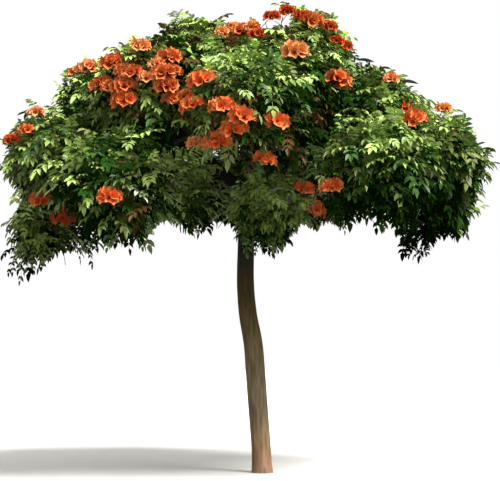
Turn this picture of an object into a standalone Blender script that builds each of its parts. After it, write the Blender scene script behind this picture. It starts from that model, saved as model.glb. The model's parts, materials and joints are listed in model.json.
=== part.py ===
"""African tulip tree: a slender, leaning trunk under a wide, dense umbrella of leaves and blossom.

Metres, +Z up. The origin is the middle of the flat cut under the trunk, at ground level. The tree is
seen from -Y, with +X to the right. Every limb, twig, leaf and flower head follows from the sizes below:

    trunk            one leaning, tapering stem with a slight root flare
    boughs           one tapering limb for each mass of foliage, joined to the limb that serves it best
    foliage masses   tiers of rounded spaces, each filled by twigs that end in whorls of leaf sprays,
                     round a small core, with flower heads and two pods where the tree shows them
"""

import math

import bmesh
import bpy
import numpy as np
from mathutils import Matrix, Vector
from mathutils.bvhtree import BVHTree

SEED = 41
ATTEMPTS = 6
GAP = 0.0003
WELD = 1.5e-6
SMOOTH_BELOW = math.radians(50)

# The trunk: (offset to +X, offset to +Y, height, radius) at each station, foot first.
TRUNK = (
    (0.000, 0.000, 0.00, 0.162),
    (0.000, 0.000, 0.05, 0.156),
    (-0.006, 0.002, 0.16, 0.148),
    (-0.018, 0.006, 0.40, 0.143),
    (-0.052, 0.014, 0.85, 0.143),
    (-0.095, 0.022, 1.40, 0.144),
    (-0.134, 0.022, 1.90, 0.141),
    (-0.212, 0.012, 2.35, 0.135),
    (-0.247, 0.000, 2.80, 0.129),
    (-0.244, -0.010, 3.25, 0.123),
    (-0.232, -0.010, 3.75, 0.116),
    (-0.215, 0.010, 4.25, 0.098),
    (-0.190, 0.020, 4.65, 0.084),
)
TRUNK_STATIONS = 18
TRUNK_SIDES = 12
FIRST_BOUGH_HEIGHT = 3.62

# The crown: rounded masses in tiers round an upright axis. Bearings run from +X towards +Y.
CROWN_AXIS_X = -0.24
FLATNESS = 0.86
CROWN_MIDDLE = np.array([CROWN_AXIS_X, 0, 4.4])
TIERS = {
    "top": {
        "count": 4,
        "first": 30,
        "reach": 0.80,
        "height": 6.14,
        "radius": 0.98,
        "shift": 0.14,
        "left": -0.10,
    },
    "shoulder": {
        "count": 7,
        "first": 180,
        "reach": 1.95,
        "height": 5.33,
        "radius": 1.02,
        "left": 0.13,
    },
    "rim": {
        "count": 10,
        "first": 18,
        "reach": 2.76,
        "height": 4.30,
        "radius": 1.05,
        "front": 0.18,
        "back": 0.58,
        "left": -0.06,
        "stagger": 0.42,
    },
    "skirt": {
        "count": 4,
        "first": 205,
        "reach": 0.98,
        "height": 4.16,
        "radius": 0.80,
        "front": -0.06,
        "back": 0.10,
    },
}
# Where the crown departs from even tiers: how far a mass is moved.
NUDGES = {
    "top_3": (-0.10, 0.0, -0.08),
    "top_4": (0.08, 0.0, -0.07),
    "shoulder_4": (-0.03, 0.0, -0.06),
    "rim_1": (0.12, 0.0, 0.0),
    "rim_2": (0.0, 0.0, -0.38),
    "rim_4": (-0.05, 0.0, -0.70),
    "rim_5": (-0.24, 0.20, -0.12),
    "rim_6": (0.0, 0.0, -0.12),
    "rim_9": (0.0, 0.0, 0.17),
    "rim_10": (-0.05, 0.0, -0.27),
    "skirt_2": (-0.05, 0.0, -0.22),
    "skirt_3": (0.0, 0.0, 0.12),
}
SPACE_MARGIN = 0.015
CORE_MARGIN = 0.04
LIMB_CLEARANCE = 0.02
SLEEVE_WIDTH = 1.5
SLEEVE_SIDES = 4

# Boughs: the radius where a bough enters its mass, and how radii add up towards the trunk.
BOUGH_TIP_RADIUS = 0.030
BOUGH_FOOT_SWELL = 1.12
BRANCHING_POWER = 2.45
BOUGH_STATIONS = 5
BOUGH_SIDES = 6
ENTRY_DEPTH = 0.80
ALONG_PARENT = 0.45
UPSWEEP = 0.15
BEND_SHARE = 0.42
SAMPLES = 25
PATH_SHARE = 0.42
TURN_SHARE = 0.35
FORK_SPACING = 0.30
FORK_DEPTH = 1.2
FORK_ZONE = 0.30
CLEAR_WAY = 0.17
CROWDING_SHARE = 3.0

# Twigs: their tips spread as far apart as the mass's space lets them, the outermost tip first.
TIP_DEPTHS = (0.40, 0.84)
TIP_CLEARANCE = 0.16
TIP_CHOICES = 1500
INWARD_LIMIT = -0.35
OUTWARD_FAVOUR = 1.2
TWIG_SHARE = 0.35
STEM_NODES = (0.45, 0.70, 0.95)
TWIG_NODES = (0.40, 0.70)
TWIG_RADII = (0.028, 0.021)
TWIG_SIDES = 3
TWIGS_IN_MASS = 5
HEADS_FOR_A_TWIG = 2
FEWEST_TWIGS = 3
CORE_SHARE = 0.66
CORE_LUMPS = 0.12
STEM_TAPER = (1.0, 0.95, 0.7)
STEM_STRAIGHT = 0.12

# Leaves: each solid stands for a spray of the real pinnate leaves.
LEAVES_ON_TIP = 4
LEAF_LENGTH = 0.62
LEAF_WIDTH = 0.55
LEAF_STATIONS = (0.0, 0.36, 1.0)
LEAF_THICKNESS = 0.016
LEAF_STEP = 0.045
LEAF_DROOP = 0.20
LEAF_SPREAD = math.radians(62)
SPREAD_RANGE = (0.85, 1.10)
FIRST_LEAF = 0.6
ALONG_TWIG = 0.5
ASIDE = (0.3, 0.2, 1.0)
SHORTER_LEAVES = (1.0, 0.82, 0.66)

# Flower heads and pods, as seen from EYE on the upright plane through the trunk: (to +X, height).
EYE = Vector((-0.18, -20.0, 1.70))
HEAD_RADIUS = 0.21
HEAD_HEIGHT = 0.22
HEAD_DEPTH = 0.84
HEAD_LIFT = 0.9
HEAD_SIDES = 5
HEAD_SCALLOP = 0.08
HEAD_PROFILE = {0: (0.0, 0.0), 1: (0.92, 0.55), 3: (0.48, 0.80), 4: (0.0, 1.0)}
FRONT_HEADS = (
    (-3.42, 5.40), (-3.57, 5.13), (-2.64, 6.07), (-2.28, 6.15), (-1.99, 6.00),
    (-2.43, 5.80), (-2.10, 5.79), (-2.07, 5.59), (-1.86, 6.40), (-1.41, 6.24), (-1.50, 6.00),
    (-1.45, 5.80), (-1.32, 5.59), (-1.05, 5.52), (-0.90, 5.88), (-0.60, 5.49), (-0.30, 5.34),
    (-0.42, 5.14), (-0.68, 4.95), (-0.33, 6.63), (0.39, 6.96), (0.75, 6.81),
    (1.03, 6.72), (1.27, 6.42), (0.51, 6.33), (1.14, 5.88), (0.21, 5.26), (2.29, 5.28),
    (2.74, 5.46), (0.04, 4.68), (0.63, 4.24), (1.03, 4.26), (0.78, 3.91),
    (-3.33, 4.06), (-2.98, 3.79), (-2.29, 4.12),
)
BACK_HEADS = {"top": 1, "shoulder": 2, "rim": 1}
BACK_OF_CROWN = 0.3
BACK_HEAD_TURN = 0.9
BACK_HEAD_RISE = (0.3, 1.1)
PODS = ((1.44, 6.19), (2.08, 5.86))
POD_LENGTH = 0.27
POD_RADIUS = 0.026
POD_SIDES = 5
POD_WAY = np.array([0.99, 0.0, -0.12])


class Mass:
    """A rounded space for foliage: an ellipsoid cut back to the part nearer to it than to the others."""

    def __init__(self, name, number, centre, radius, bearing):
        self.name, self.number, self.centre, self.radius = name, number, centre, radius
        self.bearing = bearing
        self.walls = []

    def depth(self, points):
        """0 at the middle and 1 on the ellipsoid's surface."""
        scaled = (np.asarray(points) - self.centre) / np.array([1, 1, FLATNESS])
        return np.linalg.norm(scaled, axis=-1) / self.radius

    def holds(self, points, margin=SPACE_MARGIN):
        """True where points lie on this mass's side of every wall that it shares with another mass."""
        points = np.asarray(points)
        inside = np.ones(points.shape[:-1], bool)
        for normal, offset in self.walls:
            inside &= points @ normal < offset - margin
        return inside


class Limb:
    """The trunk or a bough: a centreline with the load, in masses carried, at each station."""

    def __init__(self, name, points, parent=None, fork=None, path_before=0.0):
        self.name, self.points, self.parent, self.fork = name, points, parent, fork
        steps = np.linalg.norm(np.diff(points, axis=0), axis=1)
        self.path = path_before + np.concatenate([[0.0], np.cumsum(steps)])
        self.load = np.ones(len(points))
        self.radii = None
        self.forks = []


def unit(vector):
    return np.asarray(vector, float) / np.linalg.norm(vector)


def smooth_stations(rows, count):
    """Rows of values blended by a Catmull-Rom curve into count rows."""
    rows = np.array(rows, float)
    padded = np.vstack([rows[:1], rows, rows[-1:]])
    made = []
    for place in np.linspace(0, len(rows) - 1 - 1e-9, count):
        i, t = int(place), place % 1.0
        a, b, c, d = padded[i : i + 4]
        bow = (2 * a - 5 * b + 4 * c - d) * t**2 + (3 * b - a - 3 * c + d) * t**3
        made.append(b + ((c - a) * t + bow) / 2)
    return np.array(made)


def seeded(mass, purpose, attempt=0):
    """A random generator of a mass's own for one purpose."""
    return np.random.default_rng([SEED, mass.number, attempt, *purpose.encode()])


def crown_masses():
    """The crown's masses, tier by tier, each with the walls between it and its neighbours."""
    masses = []
    for tier, size in TIERS.items():
        for i in range(size["count"]):
            name = f"{tier}_{i + 1}"
            bearing = math.radians(size["first"] + 360 * i / size["count"])
            right, away = math.cos(bearing), math.sin(bearing)
            height = size["height"] + size.get("stagger", 0) * (1 if i % 2 else -1)
            height += size.get("front", 0) * max(0, -away) + size.get("back", 0) * max(0, away)
            height -= size.get("left", 0) * right
            middle = CROWN_AXIS_X + size.get("shift", 0) + size["reach"] * right
            centre = np.array([middle, size["reach"] * away, height]) + NUDGES.get(name, (0, 0, 0))
            masses.append(Mass(name, len(masses), centre, size["radius"], bearing))
    for one in masses:
        for other in masses:
            if other is not one:
                normal = other.centre - one.centre
                distance = np.linalg.norm(normal)
                normal = normal / distance
                along = (distance**2 + one.radius**2 - other.radius**2) / (2 * distance)
                one.walls.append((normal, one.centre @ normal + along))
    return masses


def bend(start, heading, end, count):
    """Points on a curve that leaves start along heading and reaches end."""
    reach = np.linalg.norm(end - start)
    middle = start + unit(heading) * reach * BEND_SHARE
    t = np.linspace(0, 1, count)[:, None]
    return (1 - t) ** 2 * start + 2 * t * (1 - t) * middle + t**2 * end


def entry_place(mass, start):
    """Where a bough that comes from start ends, inside the mass's own space."""
    inward = unit(start - mass.centre)
    depth = ENTRY_DEPTH
    while True:
        place = mass.centre + inward * depth / np.linalg.norm(inward / [1, 1, FLATNESS]) * mass.radius
        if mass.holds(place, 2 * BOUGH_TIP_RADIUS):
            return place
        depth *= 0.94


def crowding(points, parent, limbs):
    """0 where a bough is clear of other limbs, and of its parent beyond the fork; more as it comes close."""
    beyond = points[np.linalg.norm(points - points[0], axis=1) > FORK_ZONE]
    nearest = CLEAR_WAY
    for limb in limbs:
        tested = beyond if limb is parent else points
        if len(tested):
            nearest = min(nearest, np.linalg.norm(tested[:, None] - limb.samples[None], axis=2).min())
    return 1 - nearest / CLEAR_WAY


def bough_choices(mass, limbs):
    """Every way to send a bough to a mass: (cost, limb, station, start, heading, entry)."""
    for limb in limbs:
        is_trunk = limb.parent is None
        for i in range(1, len(limb.points) - (0 if is_trunk else 2)):
            start = limb.points[i]
            if (is_trunk and start[2] < FIRST_BOUGH_HEIGHT) or mass.depth(start) < FORK_DEPTH:
                continue
            along = unit(limb.points[min(i + 1, len(limb.points) - 1)] - limb.points[i - 1])
            entry = entry_place(mass, start)
            outward = unit(entry - start)
            heading = ALONG_PARENT * along + outward + np.array([0, 0, UPSWEEP])
            cost = np.linalg.norm(entry - start) + PATH_SHARE * limb.path[i]
            cost += TURN_SHARE * (1 - along @ outward)
            cost += sum(max(0, 1 - np.linalg.norm(limb.points[j] - start) / FORK_SPACING) for j in limb.forks)
            cost += CROWDING_SHARE * crowding(bend(start, heading, entry, SAMPLES), limb, limbs)
            yield cost, limb, i, start, heading, entry


def grow_boughs(masses):
    """One bough for each mass, each leaving the limb that gives it the shortest clear way from the trunk."""
    trunk = Limb("trunk", smooth_stations([row[:3] for row in TRUNK], TRUNK_STATIONS))
    trunk.samples = smooth_stations([row[:3] for row in TRUNK], 3 * SAMPLES)
    limbs = [trunk]
    for mass in masses:
        _, parent, fork, start, heading, entry = min(bough_choices(mass, limbs), key=lambda choice: choice[0])
        points = bend(start, heading, entry, BOUGH_STATIONS)
        mass.bough = Limb(f"{mass.name}_bough", points, parent, fork, parent.path[fork])
        mass.bough.samples = bend(start, heading, entry, SAMPLES)
        parent.forks.append(fork)
        limbs.append(mass.bough)
    for bough in reversed(limbs[1:]):
        bough.parent.load[: bough.fork + 1] += bough.load[0]
    for bough in limbs[1:]:
        taper = np.linspace(BOUGH_FOOT_SWELL, 1.0, len(bough.points))
        bough.radii = BOUGH_TIP_RADIUS * bough.load ** (1 / BRANCHING_POWER) * taper
    trunk.radii = smooth_stations([row[3:] for row in TRUNK], TRUNK_STATIONS)[:, 0]
    return limbs


def on_crown(seen, masses):
    """The mass, and the place on it, that the eye sees at (to +X, height) on the plane through the trunk."""
    ray = unit(np.array([seen[0], 0, seen[1]]) - EYE)
    squash = np.array([1, 1, 1 / FLATNESS])
    best = None
    for mass in masses:
        start, way = (np.array(EYE) - mass.centre) * squash, ray * squash
        nearest = -(start @ way) / (way @ way)
        miss = np.linalg.norm(start + nearest * way)
        reach = mass.radius * HEAD_DEPTH
        back = math.sqrt(max(0.0, reach**2 - miss**2) / (way @ way))
        place = np.array(EYE) + ray * (nearest - back)
        rank = (max(0.0, miss - reach), nearest - back)
        if best is None or rank < best[0]:
            best = (rank, mass, place)
    return best[1], best[2]


def head_places(masses):
    """Where each mass bears flower heads: those that show from the front, and a seeded few at the back."""
    places = {mass.name: [] for mass in masses}
    for seen in FRONT_HEADS:
        mass, place = on_crown(seen, masses)
        places[mass.name].append(place)
    for mass in masses:
        if math.sin(mass.bearing) < BACK_OF_CROWN:
            continue
        random = seeded(mass, "heads")
        for _ in range(BACK_HEADS.get(mass.name.split("_")[0], 0)):
            bearing = mass.bearing + random.uniform(-BACK_HEAD_TURN, BACK_HEAD_TURN)
            rise = random.uniform(*BACK_HEAD_RISE)
            level = math.cos(rise) * np.array([math.cos(bearing), math.sin(bearing)])
            out = np.array([*level, math.sin(rise) * FLATNESS])
            places[mass.name].append(mass.centre + out * mass.radius * HEAD_DEPTH)
    return places


def tip_targets(mass, count):
    """Places for twig tips in a mass, each far from those before it, so that a longer list starts alike."""
    random = seeded(mass, "tips")
    ways = random.normal(size=(TIP_CHOICES, 3))
    ways /= np.linalg.norm(ways, axis=1)[:, None]
    inner, outer = TIP_DEPTHS
    depths = mass.radius * np.cbrt(random.uniform(inner**3, outer**3, TIP_CHOICES))
    places = mass.centre + ways * depths[:, None] * np.array([1, 1, FLATNESS])
    outward = unit(mass.centre - CROWN_MIDDLE)
    free = mass.holds(places, TIP_CLEARANCE) & (ways @ outward > INWARD_LIMIT)
    places, ways = places[free], ways[free]
    chosen = [places[np.argmax((places - mass.centre) @ outward)]]
    nearest = np.linalg.norm(places - chosen[0], axis=1)
    favour = OUTWARD_FAVOUR + ways @ outward
    while len(chosen) < count:
        chosen.append(places[np.argmax(nearest * favour)])
        nearest = np.minimum(nearest, np.linalg.norm(places - chosen[-1], axis=1))
    return chosen


def grow_twigs(mass, tips):
    """The start and end of a twig to each tip, from the stem or the earlier twig that is nearest by path."""
    entry = mass.bough.points[-1]
    nodes = [entry + (mass.centre - entry) * share for share in STEM_NODES]
    paths = [np.linalg.norm(node - entry) for node in nodes]
    twigs = []
    for tip in tips:
        cost = [np.linalg.norm(tip - node) + TWIG_SHARE * path for node, path in zip(nodes, paths)]
        chosen = int(np.argmin(cost))
        start, before = nodes[chosen], paths[chosen]
        twigs.append((start, tip))
        for share in TWIG_NODES:
            nodes.append(start + (tip - start) * share)
            paths.append(before + share * np.linalg.norm(tip - start))
    return twigs


def facing(direction):
    """A rotation that carries +Z to direction."""
    return Vector(direction).to_track_quat("Z", "Y").to_matrix().to_4x4()


def new_material(name, colour, roughness):
    material = bpy.data.materials.new(name)
    material.use_nodes = True
    shader = material.node_tree.nodes["Principled BSDF"]
    shader.inputs["Base Color"].default_value = (*colour, 1)
    shader.inputs["Roughness"].default_value = roughness
    return material


def new_object(name, shape, material, collection):
    """An object made from a bmesh, which is freed."""
    mesh = bpy.data.meshes.new(name)
    shape.to_mesh(mesh)
    shape.free()
    if material:
        mesh.materials.append(material)
    made = bpy.data.objects.new(name, mesh)
    collection.objects.link(made)
    return made


def tube(name, points, radii, sides, material, collection):
    """A tapering tube along points, as a mesh with welded caps."""
    curve = bpy.data.curves.new(name, "CURVE")
    curve.dimensions = "3D"
    curve.bevel_depth = 1.0
    curve.bevel_resolution = (sides - 4) // 2
    curve.use_fill_caps = True
    spline = curve.splines.new("POLY")
    spline.points.add(len(points) - 1)
    for spot, place, radius in zip(spline.points, points, radii):
        spot.co = (*place, 1)
        spot.radius = radius
    guide = bpy.data.objects.new(name + "_guide", curve)
    collection.objects.link(guide)
    bpy.context.view_layer.update()
    mesh = bpy.data.meshes.new_from_object(guide.evaluated_get(bpy.context.evaluated_depsgraph_get()))
    bpy.data.objects.remove(guide)
    shape = bmesh.new()
    shape.from_mesh(mesh)
    bpy.data.meshes.remove(mesh)
    bmesh.ops.remove_doubles(shape, verts=shape.verts, dist=1e-5)
    bmesh.ops.recalc_face_normals(shape, faces=shape.faces)
    return new_object(name, shape, material, collection)


def cone(name, start, end, radii, sides, material, collection):
    """A straight tapering stick from start to end."""
    way = Vector(end) - Vector(start)
    shape = bmesh.new()
    bmesh.ops.create_cone(
        shape,
        cap_ends=True,
        segments=sides,
        radius1=radii[0],
        radius2=radii[1],
        depth=way.length,
        matrix=Matrix.Translation((Vector(start) + Vector(end)) / 2) @ facing(way),
    )
    return new_object(name, shape, material, collection)


def leaf(name, base, direction, side, length, material, collection):
    """A thin, drooping blade of eight faces, widest a third of the way along, its root in the twig."""
    shape = bmesh.new()
    bmesh.ops.create_uvsphere(shape, u_segments=4, v_segments=2, radius=1.0)
    side = Vector(side).normalized()
    along = Vector(direction).normalized()
    face = along.cross(side).normalized()
    root = Vector(base) - along * TWIG_RADII[1] / 3
    wide = length * LEAF_WIDTH
    for vertex in shape.verts:
        x, y, z = vertex.co
        reach = LEAF_STATIONS[round(x) + 1]
        place = root + along * length * reach + side * y * wide / 2 + face * z * LEAF_THICKNESS / 2
        vertex.co = place - Vector((0, 0, LEAF_DROOP * length * reach**2))
    return new_object(name, shape, material, collection)


def flower_head(name, base, direction, material, collection):
    """A ring of open flowers round a dome of buds: a scalloped bowl that narrows to the twig."""
    shape = bmesh.new()
    bmesh.ops.create_uvsphere(shape, u_segments=HEAD_SIDES, v_segments=3, radius=1.0)
    for vertex in shape.verts:
        ring = round(2 * vertex.co.z) + 2
        across, height = HEAD_PROFILE[ring]
        turn = math.atan2(vertex.co.y, vertex.co.x)
        across *= HEAD_RADIUS * (1 + HEAD_SCALLOP * math.cos(2 * turn))
        vertex.co = (across * math.cos(turn), across * math.sin(turn), height * HEAD_HEIGHT)
    bmesh.ops.transform(shape, matrix=Matrix.Translation(base) @ facing(direction), verts=shape.verts)
    return new_object(name, shape, material, collection)


def points_of(piece):
    return np.array([vertex.co for vertex in piece.data.vertices], float)


def bvh_of(piece):
    shape = bmesh.new()
    shape.from_mesh(piece.data)
    tree = BVHTree.FromBMesh(shape)
    shape.free()
    return tree


def cut_away(piece, cutter):
    """Cuts one object from another, then removes the cutter."""
    cut = piece.modifiers.new("clearance", "BOOLEAN")
    cut.operation = "DIFFERENCE"
    cut.object = cutter
    apply_modifiers(piece)
    bpy.data.objects.remove(cutter)


def apply_modifiers(piece):
    bpy.context.view_layer.update()
    made = bpy.data.meshes.new_from_object(piece.evaluated_get(bpy.context.evaluated_depsgraph_get()))
    old = piece.data
    piece.modifiers.clear()
    piece.data = made
    bpy.data.meshes.remove(old)
    made.name = piece.name


def largest_body(piece):
    """Keeps the outer skin alone: a hollow that fusing sealed is filled, and a loose scrap goes."""
    shape = bmesh.new()
    shape.from_mesh(piece.data)
    left = set(shape.verts)
    bodies = []
    while left:
        body, edge = set(), [left.pop()]
        while edge:
            vertex = edge.pop()
            body.add(vertex)
            for link in vertex.link_edges:
                other = link.other_vert(vertex)
                if other in left:
                    left.remove(other)
                    edge.append(other)
        bodies.append(body)
    keep = max(bodies, key=len)
    bmesh.ops.delete(shape, geom=[vertex for vertex in shape.verts if vertex not in keep], context="VERTS")
    shape.to_mesh(piece.data)
    shape.free()


def is_clean(piece):
    """True if every edge still joins just two faces once points closer than WELD are one."""
    shape = bmesh.new()
    shape.from_mesh(piece.data)
    bmesh.ops.triangulate(shape, faces=shape.faces)
    bmesh.ops.remove_doubles(shape, verts=shape.verts, dist=WELD)
    clean = all(len(edge.link_faces) == 2 for edge in shape.edges)
    shape.free()
    return clean


def sleeve(limb, radii, beyond, sides, collection):
    """A tube round a limb, for cutting, that reaches a little past its end."""
    end = limb.points[-1] + unit(limb.points[-1] - limb.points[-2]) * beyond
    return tube("cutter", [*limb.points[:-1], end], radii, sides, None, collection)


def build_limbs(limbs, bark, collection):
    """The trunk and the boughs, each bough cut clear of the limb that carries it."""
    for limb in limbs:
        limb.sides = TRUNK_SIDES if limb.parent is None else BOUGH_SIDES
        made = tube(limb.name, limb.points, limb.radii, limb.sides, bark, collection)
        host = limb.parent
        if host:
            clearance = GAP / math.cos(math.pi / host.sides)
            cut_away(made, sleeve(host, host.radii + clearance, GAP, host.sides, collection))
            largest_body(made)
        for vertex in made.data.vertices:
            if vertex.co.z < TRUNK[1][2] / 2:
                vertex.co.z = 0
        made.data.shade_smooth()
        made.data.set_sharp_from_angle(angle=SMOOTH_BELOW)
        limb.piece = made


def fits(piece, mass, limb_trees):
    """True if a piece keeps to its mass's space and touches no limb."""
    if not mass.holds(points_of(piece)).all():
        return False
    tree = bvh_of(piece)
    return not any(tree.overlap(other) for other in limb_trees)


def build_core(mass, limbs, limb_trees, material, collection):
    """The dense middle of a mass, drawn in near a neighbour and cut clear of the limbs that pass."""
    random = seeded(mass, "core")
    size = mass.radius * CORE_SHARE * np.array([1, 1, FLATNESS])
    shape = bmesh.new()
    bmesh.ops.create_icosphere(shape, subdivisions=2, radius=1.0)
    for vertex in shape.verts:
        out = np.array(vertex.co) * size * random.uniform(1 - CORE_LUMPS, 1 + CORE_LUMPS)
        while not mass.holds(mass.centre + out, CORE_MARGIN):
            out = out * 0.95
        vertex.co = mass.centre + out
    core = new_object(f"{mass.name}_foliage", shape, material, collection)
    for limb, tree in zip(limbs, limb_trees):
        if bvh_of(core).overlap(tree):
            radii = limb.radii * SLEEVE_WIDTH + LIMB_CLEARANCE
            cut_away(core, sleeve(limb, radii, LIMB_CLEARANCE, SLEEVE_SIDES, collection))
            largest_body(core)
    return core


def add_whorl(mass, base, tip, random, touched, material, scraps):
    """A whorl of leaves round a twig's end, each shorter or left out where it would leave or touch."""
    way = unit(tip - base)
    out = unit(unit(tip - mass.centre) + ALONG_TWIG * way)
    side = unit(np.cross(out, ASIDE))
    over = np.cross(side, out)
    first = random.uniform(0, 2 * math.pi)
    for i in range(LEAVES_ON_TIP):
        turn = first + 2 * math.pi * i / LEAVES_ON_TIP
        sideways = math.cos(turn) * side + math.sin(turn) * over
        spread = LEAF_SPREAD * random.uniform(*SPREAD_RANGE)
        direction = math.cos(spread) * out + math.sin(spread) * sideways
        across = unit(np.cross(direction, out))
        root = tip - way * LEAF_STEP * (i + FIRST_LEAF)
        for share in SHORTER_LEAVES:
            length = LEAF_LENGTH * mass.radius * share
            blade = leaf("leaf", root, direction, across, length, material, scraps)
            if fits(blade, mass, touched):
                touched.append(bvh_of(blade))
                break
            bpy.data.objects.remove(blade)


def build_stem(mass, material, scraps):
    """The stem of a mass, from just clear of its bough's end to the middle."""
    entry = mass.bough.points[-1]
    arriving = unit(entry - mass.bough.points[-2])
    start = entry + arriving * GAP
    radii = BOUGH_TIP_RADIUS * np.array(STEM_TAPER)
    tube("stem", [start, start + arriving * STEM_STRAIGHT, mass.centre], radii, BOUGH_SIDES, material, scraps)


def build_bearer(kind, mass, base, tip, random, touched, limb_trees, materials, scraps):
    """A twig with what it bears at its end: a whorl of leaves, a flower head or a pod."""
    outward = unit(tip - mass.centre) + ALONG_TWIG * unit(tip - base)
    upright = unit(outward + np.array([0, 0, HEAD_LIFT]))
    if kind == "head":
        tip = tip - upright * HEAD_HEIGHT / 2
    twig = cone("twig", base, tip, TWIG_RADII, TWIG_SIDES, materials["bark"], scraps)
    if not fits(twig, mass, limb_trees):
        bpy.data.objects.remove(twig)
        return
    if kind == "leaves":
        add_whorl(mass, base, tip, random, touched, materials["leaf"], scraps)
        return
    if kind == "head":
        borne = flower_head("head", tip - upright * TWIG_RADII[1], upright, materials["blossom"], scraps)
    else:
        ends = tip - POD_WAY * POD_RADIUS, tip + POD_WAY * POD_LENGTH
        borne = cone("pod", *ends, (POD_RADIUS, POD_RADIUS / 3), POD_SIDES, materials["pod"], scraps)
    if fits(borne, mass, limb_trees):
        touched.append(bvh_of(borne))
    else:
        bpy.data.objects.remove(borne)


def build_mass(mass, attempt, heads, pods, limbs, limb_trees, materials, collection, scraps):
    """One mass of foliage as a single solid, and whether it fused without a fault."""
    random = seeded(mass, "leaves", attempt)
    core = build_core(mass, limbs, limb_trees, materials["leaf"], collection)
    build_stem(mass, materials["bark"], scraps)
    whorls = TWIGS_IN_MASS - len(heads) // HEADS_FOR_A_TWIG - attempt // 2
    leafy = tip_targets(mass, max(FEWEST_TWIGS, whorls))
    kinds = ["leaves"] * len(leafy) + ["head"] * len(heads) + ["pod"] * len(pods)
    touched = list(limb_trees)
    for kind, (base, tip) in zip(kinds, grow_twigs(mass, [*leafy, *heads, *pods])):
        build_bearer(kind, mass, base, tip, random, touched, limb_trees, materials, scraps)
    clean = fuse(core, scraps)
    for piece in list(scraps.objects):
        bpy.data.objects.remove(piece)
    return core, clean


def fuse(core, scraps):
    """Joins the scraps to the core, by the second solver where the first leaves a fault. True if clean."""
    for solver in ("EXACT", "MANIFOLD"):
        joined = core.copy()
        joined.data = core.data.copy()
        bpy.context.scene.collection.objects.link(joined)
        union = joined.modifiers.new("fuse", "BOOLEAN")
        union.operation = "UNION"
        union.solver = solver
        union.operand_type = "COLLECTION"
        union.collection = scraps
        union.material_mode = "TRANSFER"
        apply_modifiers(joined)
        largest_body(joined)
        clean = is_clean(joined)
        fused = joined.data
        bpy.data.objects.remove(joined)
        if clean:
            break
    core.data = fused
    return clean


def build_tree():
    """The whole tree, in its own collection, from an empty scene."""
    for old in list(bpy.data.objects):
        bpy.data.objects.remove(old)
    tree = bpy.data.collections.new("african_tulip_tree")
    scraps = bpy.data.collections.new("to_be_fused")
    for collection in (tree, scraps):
        bpy.context.scene.collection.children.link(collection)
    materials = {
        "bark": new_material("bark", (0.22, 0.15, 0.10), 0.85),
        "leaf": new_material("leaf", (0.05, 0.12, 0.03), 0.5),
        "blossom": new_material("blossom", (0.80, 0.12, 0.03), 0.5),
        "pod": new_material("pod", (0.09, 0.06, 0.03), 0.7),
    }
    masses = crown_masses()
    limbs = grow_boughs(masses)
    build_limbs(limbs, materials["bark"], tree)
    heads = head_places(masses)
    pods = {mass.name: [] for mass in masses}
    for seen in PODS:
        mass, place = on_crown(seen, masses)
        pods[mass.name].append(place)
    limb_trees = [bvh_of(limb.piece) for limb in limbs]
    for mass in masses:
        bears = heads[mass.name], pods[mass.name]
        for attempt in range(ATTEMPTS):
            foliage, clean = build_mass(mass, attempt, *bears, limbs, limb_trees, materials, tree, scraps)
            if clean:
                break
            bpy.data.objects.remove(foliage)
    bpy.data.collections.remove(scraps)


build_tree()
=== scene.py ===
import json
import math

import bpy
import numpy as np
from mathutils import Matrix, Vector
from numpy.linalg import norm

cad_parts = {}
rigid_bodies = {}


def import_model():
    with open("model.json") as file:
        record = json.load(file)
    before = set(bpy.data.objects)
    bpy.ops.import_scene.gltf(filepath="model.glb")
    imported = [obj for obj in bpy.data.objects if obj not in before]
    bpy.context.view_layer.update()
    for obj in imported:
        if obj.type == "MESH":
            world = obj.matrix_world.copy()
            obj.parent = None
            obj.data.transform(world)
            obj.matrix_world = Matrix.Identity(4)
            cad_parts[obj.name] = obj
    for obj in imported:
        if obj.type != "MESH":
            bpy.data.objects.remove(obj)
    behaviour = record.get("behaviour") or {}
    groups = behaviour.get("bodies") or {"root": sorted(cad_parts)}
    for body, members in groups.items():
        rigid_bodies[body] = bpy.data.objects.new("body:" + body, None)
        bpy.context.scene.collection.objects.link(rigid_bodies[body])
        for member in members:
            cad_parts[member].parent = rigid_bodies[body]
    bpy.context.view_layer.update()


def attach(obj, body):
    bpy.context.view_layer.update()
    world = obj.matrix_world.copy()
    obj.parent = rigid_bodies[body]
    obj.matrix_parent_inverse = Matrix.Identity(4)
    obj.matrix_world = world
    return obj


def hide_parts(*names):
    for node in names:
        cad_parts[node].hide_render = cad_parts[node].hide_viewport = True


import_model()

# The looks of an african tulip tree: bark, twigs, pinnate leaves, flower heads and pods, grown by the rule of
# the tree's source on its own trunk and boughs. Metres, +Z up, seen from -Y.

UP = np.array([0.0, 0.0, 1.0])
SEED = 41
TINY = 1e-9
ANY_TURN = (0, 6.28)
# Directions that no limb, spray or flower runs along, to find one across it.
ACROSS_LIMB = (0.31, 0.95, 0.05)
ACROSS_SPRAY = (0.3, 0.2, 1.0)
ACROSS_FLOWER = (0.13, 0.21, 0.97)

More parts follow.
